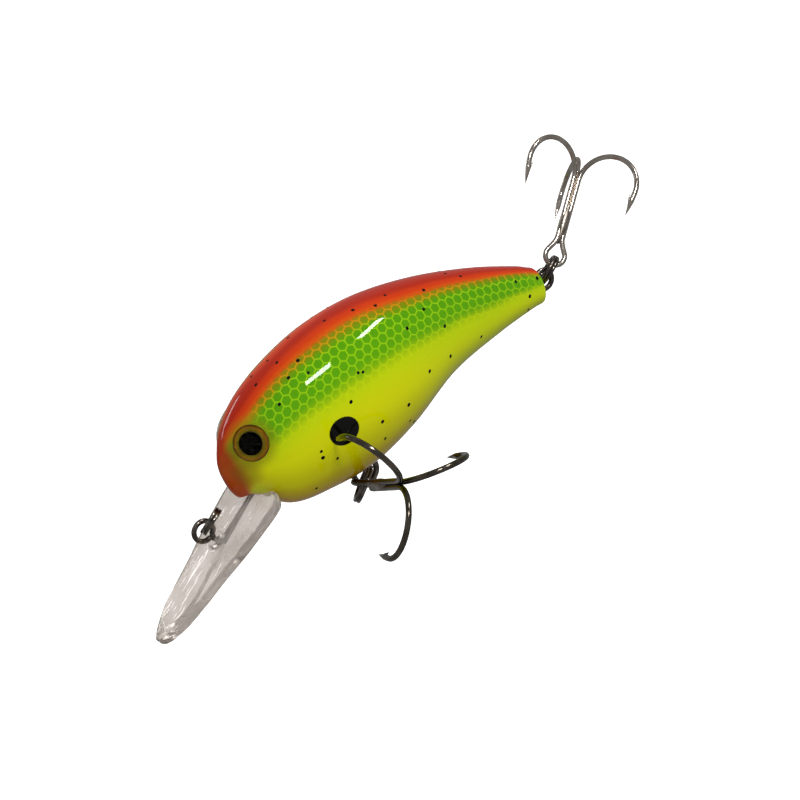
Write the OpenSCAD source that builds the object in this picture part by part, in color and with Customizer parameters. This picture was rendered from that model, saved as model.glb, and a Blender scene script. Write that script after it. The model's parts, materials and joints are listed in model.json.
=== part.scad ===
// Crankbait lure: a hollow two-part body with a clear diving lip, wire hangers,
// split rings, two treble hooks, ballast and a pair of rattle balls.
// Millimetres. The origin is the centre of the line-tie eye in front of the lip.
// +X runs from nose to tail, +Z towards the back, and the left flank faces -Y.
// Body, hardware and hook places are stated from the tip of the nose.

/* [Body] */
// Length of the body from the nose to the tail face
body_length = 57; // [56.5:0.25:57.5]
// Greatest width of the body across both flanks
body_width = 18; // [17.5:0.25:18.5]
// Thickness of the moulded shell
wall = 1.2; // [1:0.1:1.3]

/* [Diving lip] */
// Thickness of the lip plate
lip_thickness = 1.6; // [1.4:0.1:1.8]
// Angle of the lip below the horizontal, in degrees
lip_angle = 32; // [30:0.5:34]
// Rise of the centre panel above the lip plate
lip_panel_rise = 0.35; // [0.2:0.05:0.4]

/* [Wire] */
// Wire diameter of the line tie
tie_wire = 0.78; // [0.7:0.02:0.8]
// Wire diameter of the belly hanger
belly_wire = 0.9; // [0.8:0.02:0.9]
// Wire diameter of the tail hanger
tail_wire = 0.8; // [0.7:0.02:0.8]

/* [Split rings] */
// Mean radius of the line-tie ring
tie_ring_radius = 1.85; // [1.8:0.05:1.9]
// Mean radius of the belly ring
belly_ring_radius = 2.6; // [2.55:0.05:2.65]
// Mean radius of the tail ring
tail_ring_radius = 2.1; // [2.05:0.05:2.15]

/* [Treble hooks] */
// Size of the tail treble against an 18 mm long one
tail_treble_scale = 1.03; // [1:0.01:1.05]
// Size of the belly treble, one hook size larger
belly_treble_scale = 1.13; // [1.1:0.01:1.15]

/* [Ballast and rattles] */
// Radius of the ballast slug
ballast_radius = 2.6; // [2.4:0.1:2.6]
// Radius of the rattle balls
ball_radius = 2; // [1.8:0.1:2]

/* [Hidden] */

$fn = 64;

// Fits
wire_gap = 0.02;
post_gap = 0.05;
ball_gap = 0.15;

// Body stations of a 57 mm long, 18 mm wide body: x, top, bottom, half width
stations = [
    [0, 0, 0, 0],
    [1.1, 3.5, -4.7, 1.6],
    [3.5, 6.1, -5.5, 4.4],
    [8, 9, -9.2, 6.9],
    [14, 11.3, -10, 8.5],
    [21, 12.9, -9.8, 9],
    [29, 13.2, -7.6, 8.2],
    [38, 11.7, -3.8, 6.2],
    [47, 8.8, -2.2, 4.35],
    [54, 5.7, -1.55, 2.9],
    [56.6, 4.2, -1.55, 2.3]
];
length_scale = body_length / 57;
width_scale = body_width / 18;
last_station = len(stations) - 1;
section_power = 2 / 2.2;
rings_per_station = 4;
ring_count = last_station * rings_per_station;
side_steps = 20;
first_inner_ring = 10;
last_inner_ring = 35;
tail_cap_scale = 0.82;

// Lip plate: reach from its root, half width
lip_edge = [[-6, 3], [-4, 3.2], [-2.2, 3.8], [-1.1, 5.9], [0.5, 6.4], [4, 6.1], [8, 5.55], [12, 4.65],
    [16, 4], [20, 3.1], [22.4, 2], [23.6, 1.1], [24.1, 0]];
// Raised centre panel of the lip: reach, half width
panel_edge = [[-2, 0.7], [2, 0.9], [6, 1.4], [12, 2.3], [17, 3], [20, 2.4], [21.6, 1.3], [22.2, 0]];
lip_root = [3.65, 0, -6.2];

// Line tie: reach along the lip and height above the lip's middle plane
tie_reach = 7.9;
tie_height = 4;
tie_eye_radius = 1.5;
tie_loop_radius = 1.3;
tie_loop_reach = -8.2;
tie_bend = 1;
pedestal_radius = 1.3;
pedestal_height = 2;

// Nose tip, so that the line-tie eye lands on the origin
nose = [
    tie_reach * cos(lip_angle) + tie_height * sin(lip_angle) - lip_root.x,
    0,
    tie_reach * sin(lip_angle) - tie_height * cos(lip_angle) - lip_root.z
];

// Hangers: eye centre, eye radius, centre of the loop that anchors it in the body
belly_eye = [21.23, 0, -11.41];
belly_eye_radius = 1.92;
belly_anchor = [22, 0, -5.2];
tail_eye = [58.19 * length_scale, 0, 1.47];
tail_eye_radius = 1.47;
tail_anchor = [49.3, 0, 1.47];
anchor_radius = 1.4;

// Split rings: ring centre from the hanger eye, and the ring's own axis
ring_wire_width = 0.55;
ring_height = 1;
ring_groove = 0.1;
tie_ring_shift = [1.4, -0.35, 0.95];
tie_ring_axis = [0.426, -0.549, -0.717];
belly_ring_shift = [-1.41, -1.12, -1.11];
belly_ring_axis = [0.621, -0.509, -0.596];
tail_ring_shift = [1.66, 0.69, 0.64];
tail_ring_axis = [-0.507, 0.481, 0.715];

// Treble hooks: eye centre, shank direction, side of the brazed single hook
belly_hook_eye = [18.84, -3.72, -11.15];
belly_shank = [-0.05, -0.937, 0.345];
belly_single_side = [-0.579, -0.254, -0.774];
tail_hook_eye = [61.58, 0.71, 3.63];
tail_shank = [0.718, 0.237, 0.654];
tail_single_side = [0.186, 0.841, -0.509];

// One treble hook at scale 1
hook_wire = 0.78;
hook_eye_radius = 1.4;
shank_length = 11.6;
bend_radius = 4.38;
bend_angle = 188;
point_length = 4;
tip_length = 1.9;
tip_radius = 0.04;
point_step = 0.01;
point_root = 0.15;
barb_setback = 2.5;
double_offset = 0.43;
single_offset = 0.485;
treble_middle = double_offset / 2;
braze_radius = 0.68;
braze_core = 0.33;
braze_start = 2.2;
braze_length = 5.5;
braze_gap = 0.005;

// Eyes
eye_place = [3.99, -4.2, 3.57];
eye_way = [-0.61, -0.73, 0.32];
eye_radius = 2.6;
eye_depth = 0.75;
foil_thickness = 0.15;
lens_height = 0.85;
lens_dome_radius = 8;

// Inside of the body
ballast_start = 13.5;
ballast_end = 18.9;
ballast_z = -5.7;
web_thickness = 1.4;
pocket_depth = 0.7;
front_ball = [28, 0, 2.6];
rear_ball = [34.5, 0, 3.3];
ball_travel_front = 4.5;
ball_travel_rear = 3.4;
tube_wall = 0.7;
boss_radius = 1.9;
post_radius = 0.85;
post_reach = 2.4;

// ---- Curves and body sections ----

function catmull(a, b, c, d, t) =
    0.5 * (2 * b + (c - a) * t + (2 * a - 5 * b + 4 * c - d) * t * t + (3 * b - a - 3 * c + d) * t * t * t);

// The station before the nose mirrors the first one, which rounds the nose
function station_at(i) =
    i < 0 ? [stations[1][0], stations[1][2], stations[1][1], -stations[1][3]]
    : i > last_station ? 2 * stations[last_station] - stations[last_station - 1]
    : stations[i];

function raw_section(t) =
    let (i = min(floor(t), last_station - 1))
    catmull(station_at(i - 1), station_at(i), station_at(i + 1), station_at(i + 2), t - i);

// Section of the body at station number t: x, top, bottom, half width
function section(t) =
    let (s = raw_section(t))
    [s[0] * length_scale, s[1], s[2], s[3] * width_scale];

// Station number at the place x, by halving
function station_number(x, low = 0, high = last_station, steps = 24) =
    let (middle = (low + high) / 2)
    steps == 0 ? middle
    : section(middle)[0] < x ? station_number(x, middle, high, steps - 1)
    : station_number(x, low, middle, steps - 1);

function curved(side, value) = side * pow(abs(value), section_power);

// Right half of a section as points from the keel to the back
function half_outline(s, inset, shrink = 1) = [
    for (j = [0:side_steps])
        let (a = -90 + 180 * j / side_steps)
        let (middle = (s[1] + s[2]) / 2)
        let (half_height = (s[1] - s[2]) / 2 * shrink - inset)
        [
            j == 0 || j == side_steps ? 0 : (s[3] * shrink - inset) * curved(1, cos(a)),
            middle + half_height * curved(sign(a), sin(a))
        ]
];

// The wall keeps its thickness where the flank slopes along the body
function sloped_wall(t) =
    let (rise = section(t + 0.1) - section(t - 0.1))
    wall * sqrt(1 + pow(rise[3] / rise[0], 2));

// Outer half width of the body at the place x and height z
function flank_y(x, z) =
    let (s = section(station_number(x)))
    let (height = abs(z - (s[1] + s[2]) / 2) / ((s[1] - s[2]) / 2))
    s[3] * pow(1 - pow(height, 2 / section_power), section_power / 2);

function placed(x, outline) = [for (p = outline) [x, p[0], p[1]]];

// ---- Body halves ----

row = side_steps + 1;
cap_ring = ring_count + 1;
inner_base = 1 + cap_ring * row;
function outer_index(i, j) = 1 + (i - 1) * row + j;
function inner_index(i, j) = inner_base + (i - first_inner_ring) * row + j;
function quad(a, b, c, d) = [[a, b, c], [a, c, d]];
function joined(lists) = [for (list = lists) each list];

function shell_points() = [
    [0, 0, 0],
    for (i = [1:ring_count])
        let (s = section(i / rings_per_station))
        each placed(s[0], half_outline(s, 0)),
    each placed(body_length, half_outline(section(last_station), 0, tail_cap_scale)),
    for (i = [first_inner_ring:last_inner_ring])
        let (t = i / rings_per_station)
        each placed(section(t)[0], half_outline(section(t), sloped_wall(t)))
];

function skin_faces() = joined([
    [for (j = [0:side_steps - 1]) [0, outer_index(1, j), outer_index(1, j + 1)]],
    joined([for (i = [1:cap_ring - 1], j = [0:side_steps - 1])
        quad(outer_index(i, j), outer_index(i + 1, j), outer_index(i + 1, j + 1), outer_index(i, j + 1))]),
    [for (j = [1:side_steps - 1]) [outer_index(cap_ring, 0), outer_index(cap_ring, j + 1), outer_index(cap_ring, j)]]
]);

function hollow_faces() =
    let (front = first_inner_ring, back = last_inner_ring)
    joined([
        joined([for (i = [front:back - 1], j = [0:side_steps - 1])
            quad(inner_index(i, j), inner_index(i, j + 1), inner_index(i + 1, j + 1), inner_index(i + 1, j))]),
        [for (j = [1:side_steps - 1]) [inner_index(front, 0), inner_index(front, j + 1), inner_index(front, j)]],
        [for (j = [1:side_steps - 1]) [inner_index(back, 0), inner_index(back, j), inner_index(back, j + 1)]]
    ]);

function rim_strip(i) =
    quad(outer_index(i, side_steps), outer_index(i + 1, side_steps), outer_index(i + 1, 0), outer_index(i, 0));

function rim_faces() =
    let (top = side_steps, front = first_inner_ring, back = last_inner_ring)
    let (chin = outer_index(front - 1, 0), heel = outer_index(back + 1, 0))
    joined([
        [[0, outer_index(1, top), outer_index(1, 0)]],
        joined([for (i = [1:front - 2]) rim_strip(i)]),
        [
            [chin, outer_index(front - 1, top), outer_index(front, top)],
            [chin, outer_index(front, top), inner_index(front, top)],
            [chin, inner_index(front, top), inner_index(front, 0)],
            [chin, inner_index(front, 0), outer_index(front, 0)]
        ],
        joined([for (i = [front:back - 1]) joined([
            quad(outer_index(i, top), outer_index(i + 1, top), inner_index(i + 1, top), inner_index(i, top)),
            quad(inner_index(i, 0), inner_index(i + 1, 0), outer_index(i + 1, 0), outer_index(i, 0))
        ])]),
        [
            [heel, outer_index(back, 0), inner_index(back, 0)],
            [heel, inner_index(back, 0), inner_index(back, top)],
            [heel, inner_index(back, top), outer_index(back, top)],
            [heel, outer_index(back, top), outer_index(back + 1, top)]
        ],
        joined([for (i = [back + 1:cap_ring - 1]) rim_strip(i)])
    ]);

// Hollow right half of the body, open at the middle plane
module hollow_half() {
    polyhedron(points = shell_points(), faces = joined([skin_faces(), hollow_faces(), rim_faces()]));
}

// Cross wall of the right half, from x to x + web_thickness
module web(x) {
    narrow = min(flank_y(x, 0), flank_y(x + web_thickness, 0));
    wide_section = section(station_number(x));
    narrow_section = section(station_number(x + web_thickness));
    s = wide_section[3] < narrow_section[3] ? wide_section : narrow_section;
    if (narrow > wall) {
        translate([x, 0, 0])
            rotate([90, 0, 90])
                linear_extrude(web_thickness)
                    polygon(half_outline(s, wall / 2));
    }
}

// Cylinder across the right half, from y into the wall; its end stays under the skin all round
module cross_boss(place, radius, y = 0) {
    reach = min([for (dx = [-1, 1], dz = [-1, 1]) flank_y(place.x + dx * radius, place.z + dz * radius)]);
    translate([place.x, y, place.z])
        rotate([-90, 0, 0])
            cylinder(r = radius, h = reach - wall / 3 - y);
}

// Tube that a rattle ball rolls across
module rattle_tube(place) {
    cross_boss(place, ball_radius + ball_gap + tube_wall);
}

module rattle_bore(place, travel) {
    translate([place.x, -1, place.z])
        rotate([-90, 0, 0])
            cylinder(r = ball_radius + ball_gap, h = 1 + travel + ball_radius + 0.1);
}

// Everything moulded into the right half, before its cut-outs
module moulded_half() {
    hollow_half();
    web(ballast_start - web_thickness + pocket_depth);
    web(ballast_end - pocket_depth);
    rattle_tube(front_ball);
    rattle_tube(rear_ball);
    cross_boss(tie_loop_place(), boss_radius, tie_wire / 2 + wire_gap);
    cross_boss(belly_anchor, boss_radius, belly_wire / 2 + wire_gap);
    cross_boss(tail_anchor, boss_radius, tail_wire / 2 + wire_gap);
}

module eye_pocket() {
    at_eye() translate([0, 0, -eye_depth]) cylinder(r = eye_radius + post_gap, h = 3);
}

// Cut-outs of the right half; the left half has the same ones mirrored
module shared_cutouts() {
    rattle_bore(front_ball, ball_travel_front);
    rattle_bore(rear_ball, ball_travel_rear);
    ballast_shape(post_gap);
    lip_plate(post_gap);
    belly_hanger_shape(wire_gap);
    tail_hanger_shape(wire_gap);
    tie_wire_shape(wire_gap);
}

module anchor_post(place, grow = 0) {
    translate([place.x, -post_reach - grow, place.z])
        rotate([-90, 0, 0])
            cylinder(r = post_radius - (grow > 0 ? 0 : post_gap), h = post_reach + grow + 1);
}

module left_body_shell() {
    color("yellowgreen") translate(nose) difference() {
        mirror([0, 1, 0]) difference() {
            moulded_half();
            shared_cutouts();
            mirror([0, 1, 0]) eye_pocket();
        }
        for (place = [tie_loop_place(), belly_anchor, tail_anchor]) anchor_post(place, post_gap);
    }
}

module right_body_shell() {
    color("yellowgreen") translate(nose) {
        difference() {
            moulded_half();
            shared_cutouts();
            mirror([0, 1, 0]) eye_pocket();
        }
        for (place = [tie_loop_place(), belly_anchor, tail_anchor]) anchor_post(place);
    }
}

// ---- Diving lip and line tie ----

// Children stand on the lip: +X along it to the tip, +Z out of its top face
module on_lip() {
    translate(lip_root) rotate([0, lip_angle, 180]) children();
}

function lip_point(reach, height) = [
    lip_root.x - reach * cos(lip_angle) - height * sin(lip_angle),
    0,
    lip_root.z - reach * sin(lip_angle) + height * cos(lip_angle)
];

function tie_loop_place() = lip_point(tie_loop_reach, 0);

function edge_at(edge, i) =
    i < 0 ? 2 * edge[0] - edge[1]
    : i >= len(edge) ? [edge[len(edge) - 2][0], -edge[len(edge) - 2][1]]
    : edge[i];

// Smooth half outline through the edge points, closed by its mirror image
function smooth_edge(edge, steps = 4) = [
    for (k = [0:(len(edge) - 1) * steps])
        let (i = min(floor(k / steps), len(edge) - 2))
        let (p = catmull(edge_at(edge, i - 1), edge_at(edge, i), edge_at(edge, i + 1),
            edge_at(edge, i + 2), k / steps - i))
        [p[0], max(p[1], 0)]
];

module mirrored_outline(half, grow) {
    last = len(half) - 1;
    polygon([
        for (p = half) [p[0], p[1] + grow],
        for (k = [last - (grow > 0 ? 0 : 1):-1:0]) [half[k][0], -half[k][1] - grow]
    ]);
}

module lip_plate(grow = 0) {
    on_lip() {
        translate([0, 0, -lip_thickness / 2 - grow])
            linear_extrude(lip_thickness + 2 * grow)
                mirrored_outline(smooth_edge(lip_edge), grow);
        linear_extrude(lip_thickness / 2 + lip_panel_rise + grow)
            mirrored_outline(smooth_edge(panel_edge), grow);
    }
}

module diving_lip() {
    color("whitesmoke", 0.5) translate(nose) difference() {
        union() {
            lip_plate();
            on_lip() translate([tie_reach, 0, 0]) cylinder(r = pedestal_radius, h = pedestal_height);
        }
        tie_wire_shape(wire_gap);
    }
}

// Ring of round wire in the lure's middle plane
module wire_ring(place, radius, wire, grow = 0) {
    translate(place) rotate([90, 0, 0]) rotate_extrude() translate([radius, 0]) circle(d = wire + 2 * grow);
}

// Straight round wire between two places in the middle plane
module wire_run(from, to, wire, grow = 0) {
    way = to - from;
    translate(from) rotate([0, atan2(way.x, way.z), 0]) cylinder(d = wire + 2 * grow, h = norm(way));
}

// Eye above the lip, a stem down into it, a bend and a run back to the loop inside the nose
module tie_wire_shape(grow = 0) {
    stem = tie_height - tie_eye_radius;
    wire_ring(lip_point(tie_reach, tie_height), tie_eye_radius, tie_wire, grow);
    wire_ring(tie_loop_place(), tie_loop_radius, tie_wire, grow);
    on_lip() {
        translate([tie_reach, 0, tie_bend]) cylinder(d = tie_wire + 2 * grow, h = stem - tie_bend);
        translate([tie_reach - tie_bend, 0, tie_bend]) rotate([90, 0, 0]) rotate([0, 0, -90])
            rotate_extrude(angle = 90) translate([tie_bend, 0]) circle(d = tie_wire + 2 * grow);
        translate([tie_loop_reach + tie_loop_radius, 0, 0]) rotate([0, 90, 0])
            cylinder(d = tie_wire + 2 * grow, h = tie_reach - tie_bend - tie_loop_reach - tie_loop_radius);
    }
}

module line_tie_wire() {
    color("dimgray") translate(nose) tie_wire_shape();
}

// ---- Hangers ----

module hanger_shape(eye, eye_radius, anchor, wire, grow) {
    way = unit(anchor - eye);
    wire_ring(eye, eye_radius, wire, grow);
    wire_run(eye + way * eye_radius, anchor - way * anchor_radius, wire, grow);
    wire_ring(anchor, anchor_radius, wire, grow);
}

module belly_hanger_shape(grow = 0) {
    hanger_shape(belly_eye, belly_eye_radius, belly_anchor, belly_wire, grow);
}

module tail_hanger_shape(grow = 0) {
    hanger_shape(tail_eye, tail_eye_radius, tail_anchor, tail_wire, grow);
}

module belly_hanger() {
    color("dimgray") translate(nose) belly_hanger_shape();
}

module tail_hanger() {
    color("dimgray") translate(nose) tail_hanger_shape();
}

// ---- Split rings ----

function unit(v) = v / norm(v);

// Children's +Z goes along z_way and their +X as near x_way as it can
module aim(place, z_way, x_way) {
    z = unit(z_way);
    y = unit(cross(z, x_way));
    x = cross(y, z);
    multmatrix([
        [x.x, y.x, z.x, place.x],
        [x.y, y.y, z.y, place.y],
        [x.z, y.z, z.z, place.z],
        [0, 0, 0, 1]
    ]) children();
}

// Two close turns of flattened wire, with the open ends a part turn apart
module split_ring(radius) {
    inner = radius - ring_wire_width / 2;
    outer = radius + ring_wire_width / 2;
    top = ring_height / 2;
    difference() {
        rotate_extrude() polygon([
            [inner, -top], [outer, -top], [outer, -ring_groove / 2], [outer - ring_groove, 0],
            [outer, ring_groove / 2], [outer, top], [inner, top], [inner, ring_groove / 2],
            [inner + ring_groove, 0], [inner, -ring_groove / 2]
        ]);
        rotate([0, 0, 150]) translate([inner - 1, -0.1, 0.02]) cube([3, 0.2, 1]);
        rotate([0, 0, 205]) translate([inner - 1, -0.1, -1.02]) cube([3, 0.2, 1]);
    }
}

module hung_ring(eye, shift, axis, radius) {
    translate(nose) aim(eye + shift, axis, shift) split_ring(radius);
}

module line_tie_split_ring() {
    color("gray") hung_ring(-nose, tie_ring_shift, tie_ring_axis, tie_ring_radius);
}

module belly_split_ring() {
    color("gray") hung_ring(belly_eye, belly_ring_shift, belly_ring_axis, belly_ring_radius);
}

module tail_split_ring() {
    color("gray") hung_ring(tail_eye, tail_ring_shift, tail_ring_axis, tail_ring_radius);
}

// ---- Treble hooks ----

// One hook of a treble: +Z down the shank, the bend towards +X
module hook_arm(offset) {
    wire_radius = hook_wire / 2;
    lean = bend_angle - 180;
    translate([offset, 0, hook_eye_radius]) cylinder(r = wire_radius, h = shank_length - hook_eye_radius);
    translate([offset + bend_radius, 0, shank_length]) {
        rotate([90, 0, 0]) rotate([0, 0, -lean])
            rotate_extrude(angle = bend_angle) translate([bend_radius, 0]) circle(r = wire_radius);
        translate([bend_radius * cos(lean), 0, -bend_radius * sin(lean)]) rotate([0, 180 + lean, 0])
            hook_point(point_length - bend_radius * sin(lean));
    }
}

// Point of a hook along +Z, with its barb on the +X side; its root runs a little way into the bend
module hook_point(length) {
    wire_radius = hook_wire / 2 - point_step;
    straight = length - tip_length;
    translate([0, 0, -point_root]) cylinder(r = wire_radius, h = straight + point_root);
    translate([0, 0, straight]) cylinder(r1 = wire_radius, r2 = tip_radius, h = tip_length);
    translate([0, 0.12, length - barb_setback]) rotate([90, 0, 0])
        linear_extrude(0.24) polygon([[0, 0], [0.75, -0.35], [0.2, 1.1], [0, 1.2]]);
}

// Bent from one wire: the eye and two of the three hooks
module double_hook() {
    rotate([0, 90, 0]) rotate_extrude() translate([hook_eye_radius, 0]) circle(d = hook_wire);
    translate([treble_middle, 0, 0]) {
        for (turn = [120, -120]) rotate([0, 0, turn]) hook_arm(double_offset);
    }
}

module single_hook() {
    translate([treble_middle, 0, 0]) hook_arm(single_offset);
}

// Solder in the three grooves between the shanks
module hook_braze() {
    translate([treble_middle, 0, braze_start]) difference() {
        cylinder(r = braze_radius, h = braze_length);
        translate([0, 0, -1]) cylinder(r = braze_core, h = braze_length + 2);
        for (turn = [120, -120])
            rotate([0, 0, turn]) translate([double_offset, 0, -1])
                cylinder(r = hook_wire / 2 + braze_gap, h = braze_length + 2);
        translate([single_offset, 0, -1]) cylinder(r = hook_wire / 2 + braze_gap, h = braze_length + 2);
    }
}

module at_belly_hook() {
    translate(nose) aim(belly_hook_eye, belly_shank, belly_single_side) scale(belly_treble_scale) children();
}

module at_tail_hook() {
    translate(nose) aim(tail_hook_eye, tail_shank, tail_single_side) scale(tail_treble_scale) children();
}

module belly_double_hook() {
    color("darkslategray") at_belly_hook() double_hook();
}

module belly_single_hook() {
    color("slategray") at_belly_hook() single_hook();
}

module belly_hook_braze() {
    color("darkgray") at_belly_hook() hook_braze();
}

module tail_double_hook() {
    color("darkslategray") at_tail_hook() double_hook();
}

module tail_single_hook() {
    color("slategray") at_tail_hook() single_hook();
}

module tail_hook_braze() {
    color("darkgray") at_tail_hook() hook_braze();
}

// ---- Eyes ----

module at_eye() {
    aim(eye_place, eye_way, [0, 0, 1]) children();
}

module eye_foil() {
    at_eye() translate([0, 0, -eye_depth]) cylinder(r = eye_radius, h = foil_thickness);
}

module eye_lens() {
    at_eye() translate([0, 0, foil_thickness - eye_depth]) intersection() {
        cylinder(r = eye_radius, h = 2);
        translate([0, 0, lens_height - lens_dome_radius]) sphere(r = lens_dome_radius);
    }
}

module left_eye_foil() {
    color("goldenrod") translate(nose) eye_foil();
}

module left_eye_lens() {
    color("khaki", 0.5) translate(nose) eye_lens();
}

module right_eye_foil() {
    color("goldenrod") translate(nose) mirror([0, 1, 0]) eye_foil();
}

module right_eye_lens() {
    color("khaki", 0.5) translate(nose) mirror([0, 1, 0]) eye_lens();
}

// ---- Ballast and rattles ----

module ballast_shape(grow = 0) {
    translate([ballast_start - grow, 0, ballast_z]) rotate([0, 90, 0])
        cylinder(r = ballast_radius + grow, h = ballast_end - ballast_start + 2 * grow);
}

module ballast_weight() {
    color("silver") translate(nose) ballast_shape();
}

module front_rattle_ball() {
    color("silver") translate(nose + front_ball) sphere(r = ball_radius);
}

module rear_rattle_ball() {
    color("silver") translate(nose + rear_ball) sphere(r = ball_radius);
}

left_body_shell();
right_body_shell();
diving_lip();
line_tie_wire();
line_tie_split_ring();
belly_hanger();
belly_split_ring();
belly_double_hook();
belly_single_hook();
belly_hook_braze();
tail_hanger();
tail_split_ring();
tail_double_hook();
tail_single_hook();
tail_hook_braze();
left_eye_foil();
left_eye_lens();
right_eye_foil();
right_eye_lens();
ballast_weight();
front_rattle_ball();
rear_rattle_ball();
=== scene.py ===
"""Looks of a crankbait lure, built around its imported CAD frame.

Shapes are worked out in millimetres from the nose tip, and add_mesh moves them into the frame in metres.
"""

import json
import math
import random

import bpy
import numpy as np
from mathutils import Matrix, Vector


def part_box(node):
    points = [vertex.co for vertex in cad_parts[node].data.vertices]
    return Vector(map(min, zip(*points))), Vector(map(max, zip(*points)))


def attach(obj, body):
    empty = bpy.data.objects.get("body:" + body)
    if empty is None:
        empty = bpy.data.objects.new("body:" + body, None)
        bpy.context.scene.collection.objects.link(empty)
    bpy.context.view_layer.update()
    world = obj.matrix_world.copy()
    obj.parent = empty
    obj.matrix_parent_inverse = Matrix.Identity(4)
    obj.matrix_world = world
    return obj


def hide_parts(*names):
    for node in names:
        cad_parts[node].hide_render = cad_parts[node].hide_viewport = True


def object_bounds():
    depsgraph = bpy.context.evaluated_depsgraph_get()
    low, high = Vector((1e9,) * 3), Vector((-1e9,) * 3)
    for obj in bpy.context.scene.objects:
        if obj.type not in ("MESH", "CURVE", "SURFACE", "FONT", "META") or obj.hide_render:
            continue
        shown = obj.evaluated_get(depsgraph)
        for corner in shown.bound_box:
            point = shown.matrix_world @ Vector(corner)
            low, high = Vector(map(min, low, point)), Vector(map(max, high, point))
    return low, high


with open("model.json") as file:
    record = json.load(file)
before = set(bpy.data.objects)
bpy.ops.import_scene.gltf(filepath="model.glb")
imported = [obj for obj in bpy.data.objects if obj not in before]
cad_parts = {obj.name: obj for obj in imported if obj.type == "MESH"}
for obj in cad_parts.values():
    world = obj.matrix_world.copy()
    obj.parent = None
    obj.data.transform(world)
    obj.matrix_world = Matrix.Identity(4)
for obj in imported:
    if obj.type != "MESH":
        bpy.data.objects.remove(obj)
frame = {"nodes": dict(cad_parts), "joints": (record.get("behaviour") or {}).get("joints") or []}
cad_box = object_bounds()
random.seed(11)

MM = 0.001

# ---- The body's shape: x, top, bottom, half width at each station ----

STATIONS = np.array([
    [0, 0, 0, 0], [1.1, 3.5, -4.7, 1.6], [3.5, 6.1, -5.5, 4.4], [8, 9, -9.2, 6.9], [14, 11.3, -10, 8.5],
    [21, 12.9, -9.8, 9], [29, 13.2, -7.6, 8.2], [38, 11.7, -3.8, 6.2], [47, 8.8, -2.2, 4.35],
    [54, 5.7, -1.55, 2.9], [56.6, 4.2, -1.55, 2.3]], float)
BODY_LENGTH = 57.0
SECTION_POWER = 1 / 1.1
LAST = len(STATIONS) - 1


def catmull(a, b, c, d, t):
    """Point of a smooth curve between b and c, at share t of the way."""
    return 0.5 * (2 * b + (c - a) * t + (2 * a - 5 * b + 4 * c - d) * t * t
                  + (3 * b - a - 3 * c + d) * t ** 3)


def station(i):
    """Station number i; one before the nose and one after the tail are made up, so that the curve goes on."""
    if i < 0:
        x, top, bottom, half = STATIONS[1]
        return np.array([x, bottom, top, -half])
    if i > LAST:
        return 2 * STATIONS[LAST] - STATIONS[LAST - 1]
    return STATIONS[i]


def section(t):
    """x, top, bottom and half width at station number t."""
    i = min(int(t), LAST - 1)
    return catmull(station(i - 1), station(i), station(i + 1), station(i + 2), t - i)


FINE = np.array([section(t) for t in np.linspace(0, LAST, 600)])


def section_at(x):
    """top, bottom and half width at a distance from the nose."""
    return [float(np.interp(x, FINE[:, 0], FINE[:, k])) for k in (1, 2, 3)]


body_low, body_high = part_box("left_body_shell")
NOSE = Vector((body_low.x, 0, body_high.z - FINE[:, 1].max() * MM))


def outline(top, bottom, half, angle, shrink=1.0):
    """Point of a section at an angle from -90 at the keel to 90 at the back: y, z."""
    a = math.radians(angle)
    middle, height = (top + bottom) / 2, (top - bottom) / 2 * shrink
    across = max(math.cos(a), 0) ** SECTION_POWER
    up = math.copysign(abs(math.sin(a)) ** SECTION_POWER, math.sin(a))
    return half * shrink * across, middle + height * up


def outside(p):
    """Above 0 outside the body, below 0 inside."""
    top, bottom, half = section_at(p[0])
    middle, height = (top + bottom) / 2, max((top - bottom) / 2, 0.01)
    power = 2 / SECTION_POWER
    return (abs(p[1]) / max(half, 0.01)) ** power + (abs(p[2] - middle) / height) ** power - 1


def skin_normal(p):
    """Direction out of the skin at p, from small steps to both sides."""
    step = 0.05
    g = Vector([outside([p[j] + step * (j == i) for j in range(3)])
                - outside([p[j] - step * (j == i) for j in range(3)]) for i in range(3)])
    return g.normalized()


def on_skin(p, way):
    """The point where the line through p along way leaves the body, searched 3 mm to both sides."""
    low, high = -3.0, 3.0
    for _ in range(30):
        middle = (low + high) / 2
        if outside(p + way * middle) < 0:
            low = middle
        else:
            high = middle
    return p + way * low


# ---- Meshes ----

def to_frame(points):
    """Millimetres from the nose to metres in the frame."""
    return [NOSE + Vector(p) * MM for p in points]


def add_mesh(name, points, faces, material, body, replaces=(), slot=None, attributes=None):
    """A visible piece that rides on a body; attributes are vectors for each point that the material reads."""
    mesh = bpy.data.meshes.new(name)
    mesh.from_pydata(to_frame(points), [], faces)
    mesh.validate()
    mesh.polygons.foreach_set("use_smooth", [True] * len(mesh.polygons))
    for key, values in (attributes or {}).items():
        layer = mesh.attributes.new(key, "FLOAT_VECTOR", "POINT")
        layer.data.foreach_set("vector", np.array(values, np.float32).ravel())
    mesh.materials.append(material)
    piece = bpy.data.objects.new(name, mesh)
    bpy.context.scene.collection.objects.link(piece)
    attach(piece, body)
    if replaces:
        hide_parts(*replaces)
    return piece


def spline(points, steps):
    """Smooth points through the given ones."""
    p = [np.array(q, float) for q in points]
    p = [2 * p[0] - p[1]] + p + [2 * p[-1] - p[-2]]
    out = []
    for i in range(1, len(p) - 2):
        for k in range(steps):
            out.append(catmull(p[i - 1], p[i], p[i + 1], p[i + 2], k / steps))
    out.append(p[-2])
    return out


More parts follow.
